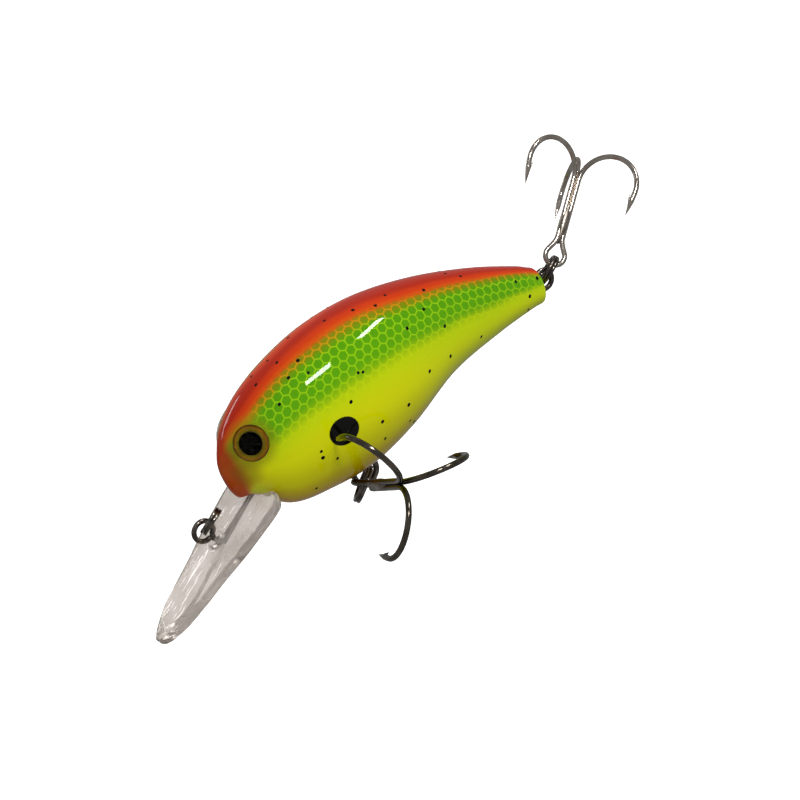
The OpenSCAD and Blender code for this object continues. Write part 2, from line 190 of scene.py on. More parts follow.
def sweep(path, radius, sides=20, squash=None):
    """A round tube along path, with a radius for each point; squash flattens it along one direction."""
    path = [Vector(p) for p in path]
    tangents = []
    for i in range(len(path)):
        tangents.append((path[min(i + 1, len(path) - 1)] - path[max(i - 1, 0)]).normalized())
    side = tangents[0].orthogonal().normalized()
    points, faces = [], []
    for i, (p, t) in enumerate(zip(path, tangents)):
        side = (side - t * side.dot(t)).normalized()
        other = t.cross(side)
        r = radius[i]
        for k in range(sides):
            a = 2 * math.pi * k / sides
            offset = side * (r * math.cos(a)) + other * (r * math.sin(a))
            if squash is not None:
                offset -= squash[0] * offset.dot(squash[0]) * squash[1]
            points.append(p + offset)
        if i:
            for k in range(sides):
                a, b = (i - 1) * sides, i * sides
                faces.append([a + k, a + (k + 1) % sides, b + (k + 1) % sides, b + k])
    for end, order in ((0, -1), (len(path) - 1, 1)):
        faces.append([end * sides + k for k in range(sides)][::order])
    return points, faces


def round_ends(path, radius, cap=5):
    """Adds points and radii that round off both ends of a tube."""
    path = [Vector(p) for p in path]
    first, last = (path[0] - path[1]).normalized(), (path[-1] - path[-2]).normalized()
    r0, r1 = radius[0], radius[-1]
    head, tail = [], []
    for k in range(1, cap + 1):
        a = math.radians(88 * k / cap)
        head.append((path[0] + first * (r0 * math.sin(a)), r0 * math.cos(a)))
        tail.append((path[-1] + last * (r1 * math.sin(a)), r1 * math.cos(a)))
    full = [h[0] for h in reversed(head)] + path + [t[0] for t in tail]
    radii = [h[1] for h in reversed(head)] + list(radius) + [t[1] for t in tail]
    return full, radii


def merged(parts):
    """Several meshes, each points and faces, as one."""
    points, faces = [], []
    for more_points, more_faces in parts:
        base = len(points)
        points += list(more_points)
        faces += [[base + i for i in f] for f in more_faces]
    return points, faces


# ---- Materials ----

def linear(code):
    """Linear colour of a hex code."""
    parts = [int(code[i:i + 2], 16) / 255 for i in (0, 2, 4)]
    return [c / 12.92 if c <= 0.04045 else ((c + 0.055) / 1.055) ** 2.4 for c in parts] + [1.0]


class Shader:
    """A material and short ways to add nodes to it."""

    def __init__(self, name, **values):
        self.material = bpy.data.materials.new(name)
        self.material.use_nodes = True
        self.tree = self.material.node_tree
        self.tree.nodes.clear()
        self.out = self.tree.nodes.new("ShaderNodeOutputMaterial")
        self.bsdf = self.tree.nodes.new("ShaderNodeBsdfPrincipled")
        self.tree.links.new(self.bsdf.outputs[0], self.out.inputs[0])
        for key, value in values.items():
            self.bsdf.inputs[key.replace("_", " ")].default_value = value

    def put(self, socket, value):
        if isinstance(value, bpy.types.NodeSocket):
            self.tree.links.new(value, socket)
        else:
            socket.default_value = value

    def link(self, name, value):
        self.put(self.bsdf.inputs[name], value)

    def node(self, kind, **settings):
        n = self.tree.nodes.new("ShaderNode" + kind)
        for key, value in settings.items():
            setattr(n, key, value)
        return n

    def math(self, operation, a, b=0.0):
        n = self.node("Math", operation=operation)
        self.put(n.inputs[0], a)
        self.put(n.inputs[1], b)
        return n.outputs[0]

    def product(self, first, *others):
        for other in others:
            first = self.math("MULTIPLY", first, other)
        return first

    def vector(self, operation, a, b=(0, 0, 0), out=0):
        n = self.node("VectorMath", operation=operation)
        self.put(n.inputs[0], a)
        self.put(n.inputs[1], b)
        return n.outputs[out]

    def step(self, value, low, high, to_low=0.0, to_high=1.0):
        """Smooth step of value between low and high."""
        n = self.node("MapRange", interpolation_type="SMOOTHSTEP")
        for socket, v in zip(n.inputs[:5], (value, low, high, to_low, to_high)):
            self.put(socket, v)
        return n.outputs[0]

    def fade(self, value, low, high):
        """1 below low, falling smoothly to 0 at high."""
        return self.step(value, low, high, 1.0, 0.0)

    def joined(self, x, y, z=0.0):
        """One vector from three numbers."""
        n = self.node("CombineXYZ")
        for socket, value in zip(n.inputs, (x, y, z)):
            self.put(socket, value)
        return n.outputs[0]

    def mix(self, factor, a, b):
        n = self.node("Mix", data_type="RGBA")
        self.put(n.inputs[0], factor)
        self.put(n.inputs[6], a)
        self.put(n.inputs[7], b)
        return n.outputs[2]

    def ramp(self, value, stops):
        n = self.node("ValToRGB")
        n.color_ramp.interpolation = "EASE"
        marks = n.color_ramp.elements
        while len(marks) < len(stops):
            marks.new(1.0)
        for mark, (place, code) in zip(marks, stops):
            mark.position = place
            mark.color = linear(code)
        self.put(n.inputs[0], value)
        return n.outputs[0]

    def noise(self, scale, detail=2.0, vector=None):
        n = self.node("TexNoise")
        n.inputs["Scale"].default_value = scale
        n.inputs["Detail"].default_value = detail
        self.put(n.inputs["Vector"], vector if vector is not None else self.place())
        return n.outputs[0]

    def place(self):
        """Position on the object, in metres."""
        return self.node("TexCoord").outputs["Object"]

    def lure_place(self):
        """Position in millimetres from the nose."""
        moved = self.vector("SUBTRACT", self.place(), tuple(NOSE))
        return self.vector("MULTIPLY", moved, (1 / MM, 1 / MM, 1 / MM))

    def split(self, vector):
        n = self.node("SeparateXYZ")
        self.put(n.inputs[0], vector)
        return n.outputs

    def attribute(self, name):
        return self.node("Attribute", attribute_name=name).outputs["Vector"]

    def bump(self, height, strength, distance, socket="Normal"):
        n = self.node("Bump")
        n.inputs["Strength"].default_value = strength
        n.inputs["Distance"].default_value = distance
        self.put(n.inputs["Height"], height)
        self.link(socket, n.outputs[0])


def metal(name, dark, light, roughness, scale=900.0):
    """Plated metal with soft patches of colour and roughness, and a faint grain."""
    s = Shader(name, Metallic=1.0)
    patches = s.noise(scale, 3)
    s.link("Base Color", s.ramp(patches, [(0.3, dark), (0.7, light)]))
    s.link("Roughness", s.step(s.noise(scale * 2.5, 2), 0.3, 0.7, roughness * 0.75, roughness * 1.3))
    s.bump(s.noise(scale * 5, 2), 0.05, 0.00002)
    return s.material


SCALE_PITCH = 1.45
SPOT = (16.0, 0.5)
SPOT_RADII = (2.3, 2.1)
SPOT_FROM_MIDDLE = (4, 5)
EYE = Vector((3.99, -4.2, 3.57))
EYE_WAY = Vector((-0.61, -0.73, 0.32)).normalized()
SPECK_SCALE = 0.95

# Colours of the sprayed paint from the keel (0) to the back (1), and of the scales over it
BODY_COLOURS = [
    (0.0, "B06004"), (0.18, "B88802"), (0.28, "C4B000"), (0.38, "CECC00"), (0.5, "D6DA00"),
    (0.6, "C3D502"), (0.68, "7CB404"), (0.8, "74AC04"), (0.865, "B88006"), (0.905, "C24806"),
    (0.945, "B83206"), (1.0, "9C1E04")]
SCALE_COLOURS = [(0.6, "80B000"), (0.7, "529A02"), (0.82, "4A9002"), (0.87, "6A7A04"), (0.93, "963E04")]

# Soft darker and lighter patches on the head: middle, where it is full, where it has gone, strength and
# colour
HEAD_PATCHES = [
    (tuple(EYE), 2.4, 4.6, 0.6, "7C6C08"),
    ((2.6, -3.1, -0.6), 0.8, 3.2, 0.55, "7C5A0C"),
    ((3.6, -3.0, -4.1), 0.5, 1.9, 0.7, "C4D80A")]


def scale_cells(s, along, girth):
    """Distance from the middle of a six-sided scale: 0 at its middle, 0.5 on its edges."""
    place = s.joined(s.math("DIVIDE", along, SCALE_PITCH), s.math("DIVIDE", girth, SCALE_PITCH))
    high = math.sqrt(3)
    # MODULO needs numbers above 0, so the pattern starts many whole scales away
    p = s.vector("ADD", place, (100, 60 * high, 0))
    step, half, flat = (1, high, 1), (0.5, high / 2, 0.5), (1, 1, 0)
    a = s.vector("MULTIPLY", s.vector("SUBTRACT", s.vector("MODULO", p, step), half), flat)
    shifted = s.vector("ADD", p, half)
    b = s.vector("MULTIPLY", s.vector("SUBTRACT", s.vector("MODULO", shifted, step), half), flat)
    nearer = s.math("GREATER_THAN", s.vector("LENGTH", a, out=1), s.vector("LENGTH", b, out=1))
    pick = s.node("Mix", data_type="VECTOR")
    s.put(pick.inputs[0], nearer)
    s.put(pick.inputs[4], a)
    s.put(pick.inputs[5], b)
    x, y, _ = s.split(s.vector("ABSOLUTE", pick.outputs[1]))
    slanted = s.math("ADD", s.math("MULTIPLY", x, 0.5), s.math("MULTIPLY", y, high / 2))
    return s.math("MAXIMUM", x, slanted)


def base_coat(s, x, height):
    """The colours from keel to back, with a greener lower flank towards the tail."""
    base = s.ramp(height, BODY_COLOURS)
    greener = s.product(s.step(x, 22, 46), s.fade(height, 0.55, 0.7), 0.4)
    return s.mix(greener, base, linear("B8DA00"))


def paint_head(s, painted, x, y, z):
    """Red and brown nose, olive round the eye and a light patch at the root of the lip."""
    nose_edge = s.math("ADD", x, s.math("MULTIPLY", z, 0.12))
    painted = s.mix(s.product(s.fade(nose_edge, 1.3, 3.1), 0.95), painted, linear("A8330F"))
    both_sides = s.joined(x, s.math("MULTIPLY", s.math("ABSOLUTE", y), -1.0), z)
    for middle, full, gone, strength, colour in HEAD_PATCHES:
        away = s.vector("DISTANCE", both_sides, middle, out=1)
        painted = s.mix(s.product(s.fade(away, full, gone), strength), painted, linear(colour))
    return painted


def paint_spot(s, painted, x, y, z):
    """The black spot on each flank."""
    dx = s.math("DIVIDE", s.math("SUBTRACT", x, SPOT[0]), SPOT_RADII[0])
    dz = s.math("DIVIDE", s.math("SUBTRACT", z, SPOT[1]), SPOT_RADII[1])
    spread = s.math("ADD", s.product(dx, dx), s.product(dz, dz))
    spot = s.product(s.fade(spread, 0.93, 1.05), s.step(s.math("ABSOLUTE", y), *SPOT_FROM_MIDDLE))
    return s.mix(spot, painted, linear("080806"))


def paint_specks(s, painted, height):
    """Fine overspray on the cheek and the lower flank."""
    specks = s.node("TexVoronoi")
    specks.inputs["Scale"].default_value = SPECK_SCALE
    s.put(specks.inputs["Vector"], s.lure_place())
    dot = s.fade(specks.outputs["Distance"], 0.05, 0.10)
    where = s.product(s.step(s.noise(300, 1), 0.52, 0.6), s.step(height, 0.25, 0.4))
    where = s.product(where, s.fade(height, 0.55, 0.68))
    return s.mix(s.product(dot, where, 0.6), painted, linear("4A4A08"))


def body_paint():
    s = Shader("sprayed_paint", Roughness=0.4, Specular_IOR_Level=0.0, Coat_Weight=1.0,
               Coat_Roughness=0.03, Coat_IOR=1.3)
    along, girth, turn = s.split(s.attribute("skin"))
    x, y, z = s.split(s.lure_place())
    # height is the turn from keel to back, moved a little along the body and by soft noise
    wander = s.math("MULTIPLY", s.math("SUBTRACT", s.noise(160, 2), 0.5), 0.035)
    rise = s.math("ADD", s.step(x, 17, 46, 0.0, 0.10), s.step(x, 4, 13, 0.035, 0.0))
    height = s.math("ADD", s.math("ADD", turn, rise), wander)
    base = base_coat(s, x, height)
    cell = scale_cells(s, along, girth)
    inside = s.fade(cell, 0.36, 0.47)
    band = s.product(s.step(height, 0.565, 0.69), s.fade(height, 0.87, 0.93))
    strength = s.product(band, s.step(x, 53, 57, 1.0, 0.35), s.step(x, 4, 8))
    painted = s.mix(s.product(inside, strength, 0.9), base, s.ramp(height, SCALE_COLOURS))
    line_share = s.step(height, 0.79, 0.87, 0.5, 0.08)
    line = s.product(s.step(cell, 0.43, 0.49), s.product(strength, line_share))
    painted = s.mix(line, painted, linear("A4D810"))
    painted = paint_head(s, painted, x, y, z)
    painted = paint_spot(s, painted, x, y, z)
    s.link("Base Color", paint_specks(s, painted, height))
    ripple = s.math("ADD", s.product(inside, strength, 0.6), s.noise(1500, 2))
    s.bump(ripple, 0.12, 0.00003)
    coat = s.math("ADD", s.noise(500, 2), s.math("MULTIPLY", s.noise(4200, 2), 0.25))
    s.bump(coat, 0.07, 0.00003, "Coat Normal")
    return s.material


def clear_plastic(name, tint, pale, roughness, clear, bend, flow):
    """See-through plastic; flow is the strength of the marks that the mould leaves along it."""
    s = Shader(name, Transmission_Weight=clear, IOR=bend)
    s.link("Base Color", s.mix(s.step(s.noise(220, 2), 0.3, 0.7), linear(tint), linear(pale)))
    s.link("Roughness", s.step(s.noise(700, 2), 0.3, 0.8, roughness * 0.6, roughness * 1.6))
    drawn = s.vector("MULTIPLY", s.place(), (0.6, 2.2, 0.6))
    s.bump(s.noise(320, 2, drawn), flow, 0.0003)
    return s.material


EYE_RADIUS = 2.6
PUPIL_EDGE = (1.75, 1.85)

# Colours of the printed eye from its middle (0) to its edge (1)
IRIS_COLOURS = [
    (0.0, "010101"), (0.635, "010101"), (0.655, "4A420A"), (0.80, "584C0A"), (0.86, "704A0C"),
    (0.93, "54360A"), (1.0, "2C2206")]


def iris_paint():
    """Black pupil in a gold ring with faint streaks round it."""
    s = Shader("printed_iris", Roughness=0.6, Specular_IOR_Level=0.0)
    radius, turn, _ = s.split(s.attribute("disc"))
    gold = s.ramp(s.math("DIVIDE", radius, EYE_RADIUS), IRIS_COLOURS)
    streaks = s.node("TexNoise", noise_dimensions="2D")
    s.put(streaks.inputs["Vector"], s.joined(s.math("MULTIPLY", turn, 9.0), s.math("MULTIPLY", radius, 0.4)))
    streaks.inputs["Scale"].default_value = 3.0
    on_ring = s.step(radius, *PUPIL_EDGE, 0.0, 0.35)
    s.link("Base Color", s.mix(s.math("MULTIPLY", streaks.outputs[0], on_ring), gold, linear("4A3A08")))
    return s.material


paint = body_paint()
lip_clear = clear_plastic("clear_lip_plastic", "BAB2AA", "CEC6C0", 0.09, 0.66, 1.5, 0.35)
lens_clear = clear_plastic("clear_lens", "FBF6E6", "FFFFFF", 0.02, 1.0, 1.1, 0.02)
iris = iris_paint()
# Both trebles are the same black nickel: the tail treble's lighter colour is painted reflection of bright
# surroundings, the belly treble's darker colour is painted shade
tail_hook_painted_reflection_metal = metal("black_nickel_tail_hook", "A59B92", "C4BAB0", 0.16, 500.0)
belly_hook_painted_shade_metal = metal("black_nickel_belly_hook", "4C463E", "6E665C", 0.12, 500.0)
ring_metal = metal("black_nickel_rings", "4E4844", "857D75", 0.18)
wire_metal = metal("black_nickel_wire", "4A4440", "807870", 0.18)
braze_metal = metal("plated_braze", "6E665E", "9A9086", 0.3, 500.0)
ballast_metal = metal("ballast_steel", "6A6A6C", "8E8E90", 0.4)
ball_metal = metal("polished_balls", "9A9A9E", "C8C8CC", 0.12)

# ---- Body skins ----

RING_STEPS = 12
SIDE_STEPS = 72
SCALE_LINE = 0.75
TAIL_START = 56.35
TAIL_STEPS = 8
TAIL_TAPER = 0.012
TAIL_ROUNDING = 0.17


def skin_rings():
    """x and outlines of all rings from the nose to the tail, and how much each is shrunk."""
    rings = []
    for k in range(1, LAST * RING_STEPS + 1):
        s = section(k / RING_STEPS)
        if s[0] < TAIL_START:
            rings.append((s[0], *s[1:], 1.0))
    top, bottom, half = section_at(TAIL_START)
    for k in range(TAIL_STEPS + 1):
        a = math.radians(90 * k / TAIL_STEPS)
        slope = 1 - TAIL_TAPER * k
        rings.append((TAIL_START + (BODY_LENGTH - TAIL_START) * math.sin(a), top, bottom, half,
                      slope * (1 - TAIL_ROUNDING * (1 - math.cos(a)))))
    return rings


def body_skin(name, side, replaces):
    """One painted half of the body, closed by a flat wall on the middle plane and not hollow inside.

    skin holds, for each point, the length along a line at the turn SCALE_LINE, the length round the body
    from that line, and the turn from the keel (0) to the back (1).
    """
    points, skin, faces = [(0.0, 0.0, 0.0)], [(0.0, 0.0, 0.5)], []
    band = int(SIDE_STEPS * SCALE_LINE)
    along, last_band = 0.0, None
    for x, top, bottom, half, shrink in skin_rings():
        ring = []
        for j in range(SIDE_STEPS + 1):
            y, z = outline(top, bottom, half, -90 + 180 * j / SIDE_STEPS, shrink)
            ring.append((x, side * y, z))
        girth = [0.0]
        for a, b in zip(ring, ring[1:]):
            girth.append(girth[-1] + math.dist(a, b))
        if last_band is not None:
            along += math.dist(last_band, ring[band])
        last_band = ring[band]
        points += ring
        skin += [(along, girth[j] - girth[band], j / SIDE_STEPS) for j in range(SIDE_STEPS + 1)]
    row = SIDE_STEPS + 1
    count = (len(points) - 1) // row

    def at(i, j):
        return 1 + i * row + j

    for j in range(SIDE_STEPS):
        faces.append([0, at(0, j), at(0, j + 1)])
        for i in range(count - 1):
            faces.append([at(i, j), at(i + 1, j), at(i + 1, j + 1), at(i, j + 1)])
    cap = list(range(at(count - 1, 0), at(count - 1, SIDE_STEPS) + 1))
    base = len(points)
    points += [points[i] for i in cap]
    skin += [skin[i] for i in cap]
    faces.append([base + k for k in range(len(cap))])
    wall = [0] + [at(i, 0) for i in range(count)] + [at(i, SIDE_STEPS) for i in reversed(range(count))]
    base = len(points)
    points += [points[i] for i in wall]
    skin += [skin[i] for i in wall]
    faces.append([base + k for k in range(len(wall))][::-1])
    if side > 0:
        faces = [f[::-1] for f in faces]
    return add_mesh(name, points, faces, paint, "lure_body", replaces, "painted_body",
                    attributes={"skin": skin})


body_skin("left_body_skin", -1, ["left_body_shell"])
body_skin("right_body_skin", 1, ["right_body_shell"])

# ---- Paint flecks: place along the body and turn from the keel (0) to the back (1) ----

LEFT_FLECKS = [
    (22, 0.98), (26, 0.93), (29, 0.88), (31.5, 0.92), (37, 0.84), (42.5, 0.97), (44, 0.88), (13, 0.97),
    (15, 0.88), (12.5, 0.84), (15, 0.79), (9.5, 0.76), (21, 0.65), (21.7, 0.64), (31, 0.68), (35, 0.72),
    (37, 0.57), (52, 0.68), (56, 0.68), (53.5, 0.47), (53, 0.27), (43, 0.36), (36.5, 0.41), (32, 0.45),
    (27, 0.4), (27, 0.3), (28, 0.25), (22, 0.43), (22, 0.34), (18.3, 0.57), (12, 0.47), (12, 0.44),
    (14, 0.4), (10.5, 0.27), (20, 0.3), (9, 0.97), (48, 0.12), (33, 0.15), (17, 0.12)]
RIGHT_FLECK_COUNT = 38
FLECK_SIDES = 12

# Share of the fleck's size, and height over the skin, of each ring of a drop
FLECK_RINGS = ((0.6, 0.035), (1.0, 0.005), (1.04, -0.05))


def skin_point(x, turn, side):
    """Point of the painted surface at a distance from the nose and a turn from keel to back."""
    top, bottom, half = section_at(x)
    y, z = outline(top, bottom, half, -90 + 180 * turn)
    return Vector((x, side * y, z))


def flecks(name, places, side):
    """Small raised drops of black paint."""
    parts = []
    for x, turn in places:
        centre = skin_point(x, turn, side)
        way = skin_normal(centre)
        u = way.orthogonal().normalized()
        v = way.cross(u)
        size = random.uniform(0.24, 0.31)
        squash = random.uniform(0.8, 1.0)
        points, faces = [centre + way * 0.045], []
        for ring, (share, lift) in enumerate(FLECK_RINGS):
            for k in range(FLECK_SIDES):
                a = 2 * math.pi * k / FLECK_SIDES
                q = centre + u * (size * share * math.cos(a)) + v * (size * share * squash * math.sin(a))
                points.append(on_skin(q, way) + way * lift)
                first = 1 + ring * FLECK_SIDES
                now, after = first + k, first + (k + 1) % FLECK_SIDES
                if ring == 0:
                    faces.append([0, now, after])
                else:
                    faces.append([now - FLECK_SIDES, now, after, after - FLECK_SIDES])
        last = 1 + (len(FLECK_RINGS) - 1) * FLECK_SIDES
        faces.append([last + k for k in range(FLECK_SIDES)][::-1])
        parts.append((points, faces))
    s = Shader(name + "_paint", Roughness=0.5, Specular_IOR_Level=0.1)
    s.link("Base Color", s.ramp(s.noise(900, 2), [(0.3, "060605"), (0.8, "14130F")]))
    return add_mesh(name, *merged(parts), s.material, "lure_body", slot="painted_body")


flecks("left_paint_flecks", LEFT_FLECKS, -1)
right_flecks = [(random.uniform(8, 55), random.uniform(0.2, 0.97)) for _ in range(RIGHT_FLECK_COUNT)]
flecks("right_paint_flecks", right_flecks, 1)

# ---- Eyes ----

EYE_SIDES = 72
EYE_RINGS = 18
LENS_OVERHANG = 0.05


def disc_on_skin(radius, side, lift):
    """Polar grid on the skin round the eye; lift gives its height at a share of the radius."""
    rings, sides = EYE_RINGS, EYE_SIDES
    centre = Vector((EYE.x, side * abs(EYE.y), EYE.z))
    way = Vector((EYE_WAY.x, side * abs(EYE_WAY.y), EYE_WAY.z))
    u = way.cross(Vector((0, 0, 1))).normalized()
    v = way.cross(u)
    points, disc = [on_skin(centre, way) + way * lift(0)], [(0.0, 0.0, 0.0)]
    faces = []
    for i in range(1, rings + 1):
        share = i / rings
        for k in range(sides):
            a = 2 * math.pi * k / sides
            q = centre + (u * math.cos(a) + v * math.sin(a)) * (radius * share)
            points.append(on_skin(q, way) + way * lift(share))
            disc.append((radius * share, math.cos(a), math.sin(a)))
            now, after = 1 + (i - 1) * sides + k, 1 + (i - 1) * sides + (k + 1) % sides
            if i == 1:
                faces.append([0, now, after])
            else:
                faces.append([now - sides, now, after, after - sides])
    return points, faces, disc


def closed_disc(name, radius, side, top, bottom, material, replaces, slot):
    """A thin disc on the skin; top and bottom give the heights of its two faces."""
    upper, faces, disc = disc_on_skin(radius, side, top)
    lower, lower_faces, lower_disc = disc_on_skin(radius, side, bottom)
    base, sides = len(upper), EYE_SIDES
    faces = faces + [[base + i for i in f][::-1] for f in lower_faces]
    rim = base - sides
    for k in range(sides):
        after = (k + 1) % sides
        faces.append([rim + k, base + rim + k, base + rim + after, rim + after])
    return add_mesh(name, upper + lower, faces, material, "lure_body", replaces, slot,
                    attributes={"disc": disc + lower_disc})


def dome(share):
    """Height of the lens at a share of its radius."""
    return 0.05 + 0.17 * math.sqrt(max(1 - share * share, 0))


for word, side in (("left", -1), ("right", 1)):
    closed_disc(f"{word}_iris", EYE_RADIUS, side, lambda share: 0.03, lambda share: -0.15,
                iris, [f"{word}_eye_foil"], "eye_foil")
    closed_disc(f"{word}_lens", EYE_RADIUS + LENS_OVERHANG, side, dome, lambda share: 0.045,
                lens_clear, [f"{word}_eye_lens"], "eye_lens")

# ---- Diving lip ----

LIP_ANGLE = math.radians(32)
LIP_ROOT = Vector((3.65, 0, -6.2))
LIP_THICKNESS = 1.6

# Half outlines of the lip and of its raised panel: reach from the root, half width
LIP_EDGE = [(-6, 3), (-4, 3.2), (-2.2, 3.8), (-1.1, 5.9), (0.5, 6.4), (4, 6.1), (8, 5.55), (12, 4.65),
            (16, 4), (20, 3.1), (22.4, 2), (23.6, 1.1), (24.1, 0)]
PANEL_EDGE = [(-2, 0.7), (2, 0.9), (6, 1.4), (12, 2.3), (17, 3), (20, 2.4), (21.6, 1.3), (22.2, 0)]

LIP_START, LIP_TIP = -5.9, LIP_EDGE[-1][0]
EDGE_ROUNDING = 0.6
PANEL_RISE = 0.35
TIE_REACH = 7.9
TIE_HEIGHT = 4.0
PEDESTAL_RADIUS, PEDESTAL_TOP = 1.3, 2.0


def lip_point(reach, across, height):
    """Point of the lip from its reach along the plate, the distance across and the height over its middle."""
    return (LIP_ROOT.x - reach * math.cos(LIP_ANGLE) - height * math.sin(LIP_ANGLE), across,
            LIP_ROOT.z - reach * math.sin(LIP_ANGLE) + height * math.cos(LIP_ANGLE))


def smooth_edge(edge, steps=10):
    """Smooth half outline, which meets its mirror image square at the tip."""
    before = (2 * edge[0][0] - edge[1][0], 2 * edge[0][1] - edge[1][1])
    after = (edge[-2][0], -edge[-2][1])
    p = [np.array(q, float) for q in [before] + list(edge) + [after]]
    out = []
    for i in range(1, len(p) - 2):
        for k in range(steps):
            out.append(catmull(p[i - 1], p[i], p[i + 1], p[i + 2], k / steps))
    out.append(p[-2])
    return np.array(out)


LIP_LINE = smooth_edge(LIP_EDGE)
PANEL_LINE = smooth_edge(PANEL_EDGE)


def edge_distance(line, reach, across):
    """Distance to the outline, above 0 inside it."""
    a, b = line[:-1], line[1:]
    p = np.array([reach, abs(across)])
    run = b - a
    t = np.clip(((p - a) * run).sum(1) / np.maximum((run * run).sum(1), 1e-9), 0, 1)
    near = np.sqrt((((a + run * t[:, None]) - p) ** 2).sum(1)).min()
    wide = np.interp(reach, line[:, 0], line[:, 1], left=0, right=0)
    return near if abs(across) <= wide else -near


def smooth_share(value, low, high):
    """0 up to low, 1 from high, smooth between them."""
    t = min(max((value - low) / (high - low), 0), 1)
    return t * t * (3 - 2 * t)


def lip_height(reach, across, top):
    """Height of the lip's top or bottom face over its middle, with the panel and pedestal on top."""
    half = LIP_THICKNESS / 2
    edge = max(edge_distance(LIP_LINE, reach, across), 0)
    if edge < EDGE_ROUNDING:
        half -= EDGE_ROUNDING - math.sqrt(EDGE_ROUNDING ** 2 - (EDGE_ROUNDING - edge) ** 2)
    if not top:
        return -half
    half += PANEL_RISE * smooth_share(edge_distance(PANEL_LINE, reach, across), -0.1, 0.15)
    from_tie = math.hypot(reach - TIE_REACH, across)
    foot = PEDESTAL_TOP - half
    half += foot * (1 - smooth_share(from_tie, PEDESTAL_RADIUS - 0.12, PEDESTAL_RADIUS + 0.12))
    half += 0.12 * (1 - smooth_share(from_tie, PEDESTAL_RADIUS, PEDESTAL_RADIUS + 0.6))
    return min(half, PEDESTAL_TOP)


def lip_plate():
    """The lip as two faces over one grid, which is finer round the pedestal, at the tip and at the edges."""
    reaches = sorted(set(
        [round(float(r), 3) for r in np.linspace(LIP_START, LIP_TIP, 110)]
        + [round(float(r), 3) for r in np.linspace(TIE_REACH - 2, TIE_REACH + 2, 45)]
        + [round(LIP_TIP - 0.9 * (k / 14) ** 2, 3) for k in range(15)]))
    shares = sorted(set(
        [round(float(v), 4) for v in np.linspace(-1, 1, 41)]
        + [round(float(v), 4) for v in np.linspace(-0.36, 0.36, 41)]
        + [round(sign * (1 - 0.12 * (k / 10) ** 2), 4) for k in range(11) for sign in (-1, 1)]))
    points = []
    for top in (True, False):
        for reach in reaches:
            wide = float(np.interp(reach, LIP_LINE[:, 0], LIP_LINE[:, 1]))
            for share in shares:
                points.append(lip_point(reach, wide * share, lip_height(reach, wide * share, top)))
    n, m = len(reaches), len(shares)
    faces = []
    for i in range(n - 1):
        for j in range(m - 1):
            a = i * m + j
            faces.append([a, a + 1, a + m + 1, a + m])
            b = n * m + a
            faces.append([b, b + m, b + m + 1, b + 1])
        for j, flip in ((0, 1), (m - 1, -1)):
            a, b = i * m + j, n * m + i * m + j
            faces.append([a, a + m, b + m, b][::flip])
    for i, flip in ((0, -1), (n - 1, 1)):
        for j in range(m - 1):
            a, b = i * m + j, n * m + i * m + j
            faces.append([a, a + 1, b + 1, b][::flip])
    return points, faces


lip = add_mesh("clear_lip", *lip_plate(), lip_clear, "lure_body", ["diving_lip"], "clear_lip")
weld = lip.modifiers.new("weld", "WELD")
weld.merge_threshold = 0.000002

# ---- Wires, all in the middle plane: their points are x, z ----

LOOP_START, LOOP_TURN, LOOP_STEPS = 16, 330, 24
TIE_WIRE, BELLY_WIRE, TAIL_WIRE = 0.78, 0.9, 0.8
TIE_ANCHOR_REACH = -8.2
ANCHOR_RADIUS = 1.4
BELLY_EYE, BELLY_ANCHOR = (21.23, -11.41), (22, -5.2)
TAIL_EYE, TAIL_ANCHOR = (58.19, 1.47), (49.3, 1.47)


def eye_loop(centre, radius, toward):
    """A bent wire eye, from its neck round to its end; toward points to the wire."""
    start = math.atan2(toward[1], toward[0])
    out = []
    for k in range(LOOP_STEPS + 1):
        a = start + math.radians(LOOP_START + LOOP_TURN * k / LOOP_STEPS)
        out.append((centre[0] + radius * math.cos(a), 0, centre[1] + radius * math.sin(a)))
    return out


def flat_unit(v):
    """The same way with length 1."""
    n = math.hypot(*v)
    return (v[0] / n, v[1] / n)


def bent_wire(name, ends, middle, wire, replaces):
    """Wire with an eye at each end; ends are (centre, radius), middle the points between the necks."""
    (c0, r0), (c1, r1) = ends
    run = [(p[0], p[1]) for p in middle]
    first = flat_unit((run[0][0] - c0[0], run[0][1] - c0[1]))
    last = flat_unit((run[-1][0] - c1[0], run[-1][1] - c1[1]))
    path = list(reversed(eye_loop(c0, r0, first)))
    path += [(p[0], 0, p[1]) for p in run]
    path += eye_loop(c1, r1, last)
    path = spline(path, 5)
    full, radii = round_ends(path, [wire / 2] * len(path))
    return add_mesh(name, *sweep(full, radii), wire_metal, "lure_body", replaces, "black_nickel_wire")


def along_lip(reach, height):
    """Point of the middle plane at a reach along the lip and a height over its middle."""
    p = lip_point(reach, 0, height)
    return (p[0], p[2])


def straight(a, b, from_a, from_b, count=5):
    """Points on the line from a to b, which start and end at given distances from them."""
    way = flat_unit((b[0] - a[0], b[1] - a[1]))
    length = math.dist(a, b)
    return [(a[0] + way[0] * d, a[1] + way[1] * d) for d in np.linspace(from_a, length - from_b, count)]


